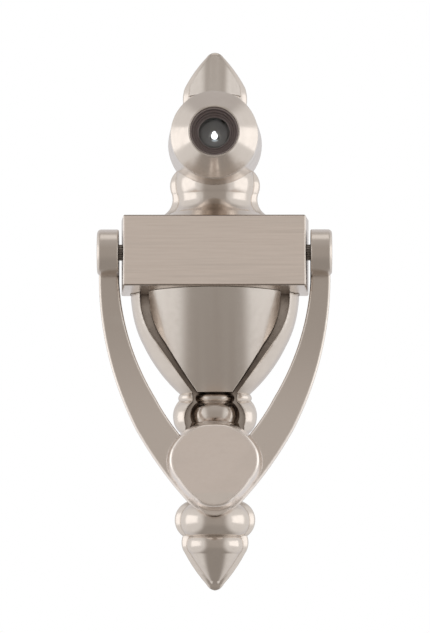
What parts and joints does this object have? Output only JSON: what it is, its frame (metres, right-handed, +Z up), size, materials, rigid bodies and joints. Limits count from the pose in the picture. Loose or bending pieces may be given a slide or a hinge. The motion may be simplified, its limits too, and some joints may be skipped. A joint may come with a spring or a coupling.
{
  "type": "door knocker with door viewer",
  "caption": "Baluster-shaped door knocker plate with a hinged U-shaped knocker under a rectangular block and a conical wide-angle viewer through its head.",
  "frame": {"origin": "the viewer's axis at the plate's back face, which lies on the door's outer face", "axes": "+Z up the plate, +Y into the door, +X to the right seen from outside"},
  "size_m": [0.082, 0.0843, 0.1905],
  "materials": {
    "satin_nickel": "brushed satin",
    "screw_steel": "zinc plated",
    "pin_steel": "machined",
    "black_anodised": "matte",
    "lens_glass": "polished",
    "gasket_rubber": "matte"
  },
  "bodies": {
    "plate": {"backplate": "satin_nickel", "hinge_block": "satin_nickel", "hinge_block_screw_left": "screw_steel", "hinge_block_screw_right": "screw_steel", "pivot_pin_left": "pin_steel", "pivot_pin_right": "pin_steel", "strike_button": "satin_nickel", "mounting_screw": "screw_steel", "finish_washer": "satin_nickel", "viewer_bezel": "satin_nickel", "viewer_gasket": "gasket_rubber", "outer_barrel": "satin_nickel", "objective_retainer": "black_anodised", "objective_lens": "lens_glass", "lens_spacer": "black_anodised", "second_lens": "lens_glass", "aperture_stop": "black_anodised"},
    "knocker": {"knocker": "satin_nickel"},
    "eyepiece": {"inner_barrel": "satin_nickel", "field_lens": "lens_glass", "eyepiece_lens": "lens_glass", "eyepiece_retainer": "black_anodised"}
  },
  "joints": [
    {"name": "knocker_swing", "type": "hinge", "parent": "plate", "child": "knocker", "pos_m": [0, -0.0163, -0.0401], "axis": [-1, 0, 0], "range_deg": [0, 170]},
    {"name": "viewer_length", "type": "slide", "parent": "plate", "child": "eyepiece", "axis": [0, 1, 0], "range_m": [-0.009, 0.012]}
  ]
}
